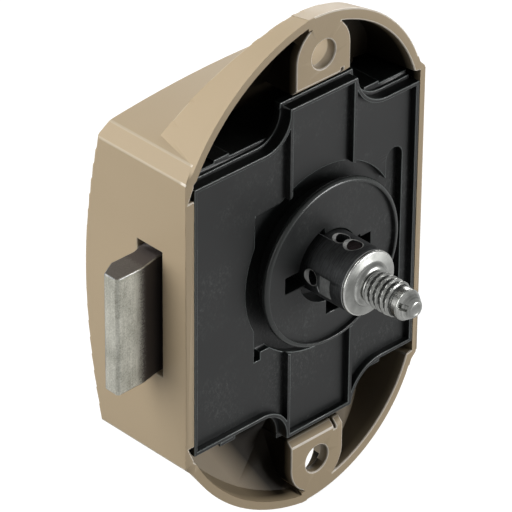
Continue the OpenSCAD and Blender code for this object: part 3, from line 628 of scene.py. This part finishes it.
def cast_metal(name, dark, light, darkened_colour, darker_from, rough=0.5):
    """Raw die casting: fine speckle, faint streaks along Z, a darker brown towards its slot and painted
    shade on its top face.

    The darker zone starts at darker_from on the X axis, in mm, with a ragged border. The speckle of real
    tumbled zinc is under 0.1 mm, too fine to show here, and is drawn coarser.
    """
    speckle_mm = 0.24
    patch_mm = 2.5
    streak_mm = 0.3
    raggedness = 4.5 * MM
    border = 1.2
    material = new_material(name)
    tree = material.node_tree
    place = node(tree, "TexCoord").outputs["Object"]
    pattern = {"Vector": place, "Scale": 1 / (speckle_mm * MM), "Detail": 4.0, "Roughness": 0.8}
    speckle = node(tree, "TexNoise", pattern).outputs["Fac"]
    patches = node(tree, "TexNoise", {"Vector": place, "Scale": 1 / (patch_mm * MM), "Detail": 3.0})
    tall = node(tree, "Mapping", {"Vector": place, "Scale": (1, 1, 0.06)})
    pattern = {"Vector": tall.outputs[0], "Scale": 1 / (streak_mm * MM), "Detail": 2.0}
    streaks = node(tree, "TexNoise", pattern)
    fine = node(tree, "Math", {0: streaks.outputs["Fac"], 1: 0.3, 2: speckle}, operation="MULTIPLY_ADD")
    terms = {0: patches.outputs["Fac"], 1: 0.5, 2: fine.outputs[0]}
    fine = node(tree, "Math", terms, operation="MULTIPLY_ADD")
    spread = node(tree, "MapRange", {"Value": fine.outputs[0], "From Min": 0.62, "From Max": 1.12})
    layer = {"Factor": spread.outputs[0], "A": linear(dark), "B": linear(light)}
    colour = node(tree, "Mix", layer, data_type="RGBA").outputs["Result"]
    # Darker brown towards the slot, from a position on X, with a ragged border.
    across = node(tree, "SeparateXYZ", {"Vector": place}).outputs["X"]
    ragged = node(tree, "Math", {0: speckle, 1: raggedness, 2: across}, operation="MULTIPLY_ADD")
    ramp = {"From Min": darker_from * MM, "From Max": (darker_from + border) * MM}
    slid = node(tree, "MapRange", {"Value": ragged.outputs[0], **ramp})
    # Painted shade: faces that point up are darkened.
    facing = node(tree, "SeparateXYZ", {"Vector": node(tree, "NewGeometry").outputs["True Normal"]})
    ramp = {"From Min": 0.6, "From Max": 0.95, "To Max": 0.9}
    painted_top_shade = node(tree, "MapRange", {"Value": facing.outputs["Z"], **ramp})
    terms = {0: slid.outputs[0], 1: painted_top_shade.outputs[0]}
    slot_dark_and_top_shade = node(tree, "Math", terms, operation="MAXIMUM").outputs[0]
    darkened = node(tree, "Mix", {"Factor": slot_dark_and_top_shade, "A": colour, "B": linear(darkened_colour)}, data_type="RGBA")
    relief = node(tree, "Bump", {"Height": speckle, "Strength": 0.6, "Distance": 0.05 * MM})
    bare = node(tree, "MapRange", {"Value": slot_dark_and_top_shade, "To Min": 0.75, "To Max": 0.15})
    coat = {"Base Color": darkened.outputs["Result"], "Roughness": rough, "Metallic": bare.outputs[0]}
    base = node(tree, "BsdfPrincipled", {**coat, "Normal": relief.outputs[0]})
    node(tree, "OutputMaterial", {"Surface": base.outputs[0]})
    return material


# Tumbled zinc gives a pale, mottled, half-dull metal, darker brown towards the slot and with painted
# shade on its top face.
cast_zinc = cast_metal("tumbled_zinc_casting", "#8b8a7e", "#d6d5ca", darkened_colour="#4a4340", darker_from=-25.7)
latch_bolt = rounded_copy("latch_bolt", "bolt", edge=0.15)
# Its edge strips take the paler steel: a painted highlight.
finish_with(latch_bolt, cast_zinc, rubbed_and_highlight_steel, slot_name="bolt_metal")
# Drawn steel is smooth and light grey.
drawn_steel = turned_metal("drawn_spring_steel", "#9a9c9e", "#c6c8ca", rough=0.3)
finish_with(nodes["bolt_pin"], drawn_steel)


# Carriage, heart cam and plunger collar.
# Natural acetal mouldings inside the case, white to cream, which slide on each other without grease.

# Acetal gives a cream white with a waxy satin.
acetal = moulded_plastic("natural_acetal", "#dcd8ca", "#e6e2d6", rough=0.4, grain_mm=0.4, grain_depth=0.01)
for inner in ("bolt_carriage", "heart_cam", "plunger_collar"):
    finish_with(nodes[inner], acetal)


# Rods, pins, wire and springs.
# Drawn and wound steel parts inside the case. The two bolt springs sit on the guide rods between the
# carriage and the posts. In the lock they shorten when the bolt goes in; here each is drawn at one length.


def wound_spring(name, start, along, length, mean_r, turns=12, wire=0.6, per_turn=28, sides=10):
    """A closed round wire wound on a helix, in mm, with a closer turn at each end.

    centre(t) = start + along * rise(t) + mean_r * (u cos(2 pi t) + v sin(2 pi t)), for t from 0 to turns.
    The wire's section is wire / 2 * (radial cos(a) + along sin(a)).
    """
    end_turn = 1.7 * wire
    along = np.array(along, float)
    u = np.roll(along, 1)
    v = np.cross(along, u)
    t = np.linspace(0, turns, turns * per_turn + 1)
    rise_at = [wire / 2, end_turn, length - end_turn, length - wire / 2]
    rise = np.interp(t, [0, 1, turns - 1, turns], rise_at)
    radial = np.cos(2 * np.pi * t)[:, None] * u + np.sin(2 * np.pi * t)[:, None] * v
    centre = np.array(start) + rise[:, None] * along + mean_r * radial
    a = np.linspace(0, 2 * np.pi, sides, endpoint=False)
    section = np.cos(a)[None, :, None] * radial[:, None, :] + np.sin(a)[None, :, None] * along
    points = centre[:, None, :] + wire / 2 * section
    first = np.arange(len(t) * sides).reshape(len(t), sides)
    beside = np.roll(first, -1, axis=1)
    quads = np.stack([first[:-1], beside[:-1], beside[1:], first[1:]], axis=-1).reshape(-1, 4).tolist()
    caps = [first[0].tolist(), first[-1].tolist()]
    made = mesh_object(name, points.reshape(-1, 3) * MM, quads + caps)
    for face in made.data.polygons:
        face.use_smooth = len(face.vertices) == 4
    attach(made, "case")
    return made


for inner in ("cam_pins", "latch_wire", "upper_guide_rod", "lower_guide_rod"):
    finish_with(nodes[inner], drawn_steel)

coil_start = (spindle_x, 4.32, 0)
spindle_coil = wound_spring("spindle_spring_look", coil_start, (0, 1, 0), length=13.26, mean_r=2.65)
finish_with(spindle_coil, drawn_steel, slot_name="pin_steel")
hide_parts("spindle_spring")
for end_name, z in (("upper", 18), ("lower", -18)):
    coil_name = end_name + "_bolt_spring_look"
    bolt_coil = wound_spring(coil_name, (-17.95, 8, z), (1, 0, 0), length=22, mean_r=1.8)
    finish_with(bolt_coil, drawn_steel, slot_name="pin_steel")
    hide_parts(end_name + "_bolt_spring")
    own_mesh(bolt_coil)
